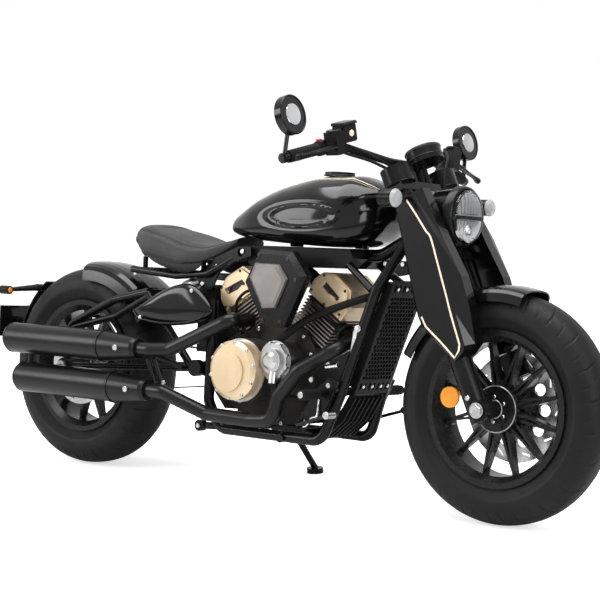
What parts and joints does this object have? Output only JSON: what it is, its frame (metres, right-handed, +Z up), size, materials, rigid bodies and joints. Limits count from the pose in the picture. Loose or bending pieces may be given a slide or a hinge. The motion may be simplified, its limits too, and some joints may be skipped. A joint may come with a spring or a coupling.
{
  "type": "bobber motorcycle",
  "caption": "Black bobber motorcycle with a finned V-twin, twin side mufflers and a solo seat, leaning on its side stand.",
  "frame": {"origin": "centre of the machine's footprint on the ground", "axes": "+X forward, +Y to its left, +Z up"},
  "size_m": [2.264, 0.96, 1.1707],
  "materials": {
    "gloss_black": "gloss",
    "satin_black": "satin",
    "black_plastic": "matte",
    "cast_metal": "rough",
    "gold_metal": "satin",
    "silver_metal": "satin",
    "steel": "brushed",
    "seat_hide": "satin",
    "tyre_rubber": "matte",
    "soft_rubber": "matte",
    "amber_plastic": "gloss",
    "lens_glass": "clear"
  },
  "bodies": {
    "chassis": {"frame": "satin_black", "cradle": "satin_black", "seat_rails": "satin_black", "swingarm_left": "satin_black", "swingarm_right": "satin_black", "swingarm_pivot": "satin_black", "rear_shock": "silver_metal", "rear_axle": "silver_metal", "airbox": "satin_black", "battery_box": "satin_black", "fuel_tank": "gloss_black", "fuel_cap": "satin_black", "seat": "seat_hide", "side_covers": "gloss_black", "rear_fender": "gloss_black", "plate_arm": "satin_black", "number_plate": "gloss_black", "rear_lamps": "black_plastic", "crankcase": "cast_metal", "front_cylinder": "cast_metal", "rear_cylinder": "cast_metal", "rocker_covers": "gold_metal", "air_cleaner": "satin_black", "air_cleaner_badge": "silver_metal", "clutch_cover": "gold_metal", "water_pump": "silver_metal", "left_covers": "satin_black", "drive_belt": "soft_rubber", "front_exhaust": "satin_black", "rear_exhaust": "satin_black", "mufflers": "satin_black", "radiator": "cast_metal", "radiator_grille": "black_plastic", "belly_guard": "satin_black", "foot_controls": "satin_black"},
    "fork": {"fork_yokes": "satin_black", "fork_tubes": "satin_black", "fork_sliders": "satin_black", "fork_blades": "gloss_black", "front_axle": "silver_metal", "front_fender": "gloss_black", "brake_caliper": "satin_black", "reflectors": "amber_plastic", "headlight": "gloss_black", "headlight_glass": "lens_glass", "front_signals": "lens_glass", "handlebar": "satin_black", "grips": "soft_rubber", "bar_controls": "black_plastic", "mirrors": "gloss_black", "gauge": "black_plastic"},
    "front_wheel": {"front_tyre": "tyre_rubber", "front_wheel": "satin_black", "front_disc": "steel"},
    "rear_wheel": {"rear_tyre": "tyre_rubber", "rear_wheel": "satin_black", "rear_disc": "steel", "rear_pulley": "silver_metal"},
    "side_stand": {"side_stand": "satin_black"}
  },
  "joints": [
    {"name": "steering", "type": "hinge", "parent": "chassis", "child": "fork", "pos_m": [0.53729, -0.03582, 0.77169], "axis": [-0.4321, 0.1099, 0.8951], "range_deg": [-32, 32]},
    {"name": "front_wheel_spin", "type": "hinge", "parent": "fork", "child": "front_wheel", "pos_m": [0.818, -0.09213, 0.31307], "axis": [0, 0.9925, -0.1219], "continuous": true},
    {"name": "rear_wheel_spin", "type": "hinge", "parent": "chassis", "child": "rear_wheel", "pos_m": [-0.742, -0.09165, 0.31704], "axis": [0, 0.9925, -0.1219], "continuous": true},
    {"name": "side_stand_fold", "type": "hinge", "parent": "chassis", "child": "side_stand", "pos_m": [-0.042, 0.03959, 0.1709], "axis": [0, 0.9744, 0.225], "range_deg": [0, 92]}
  ]
}
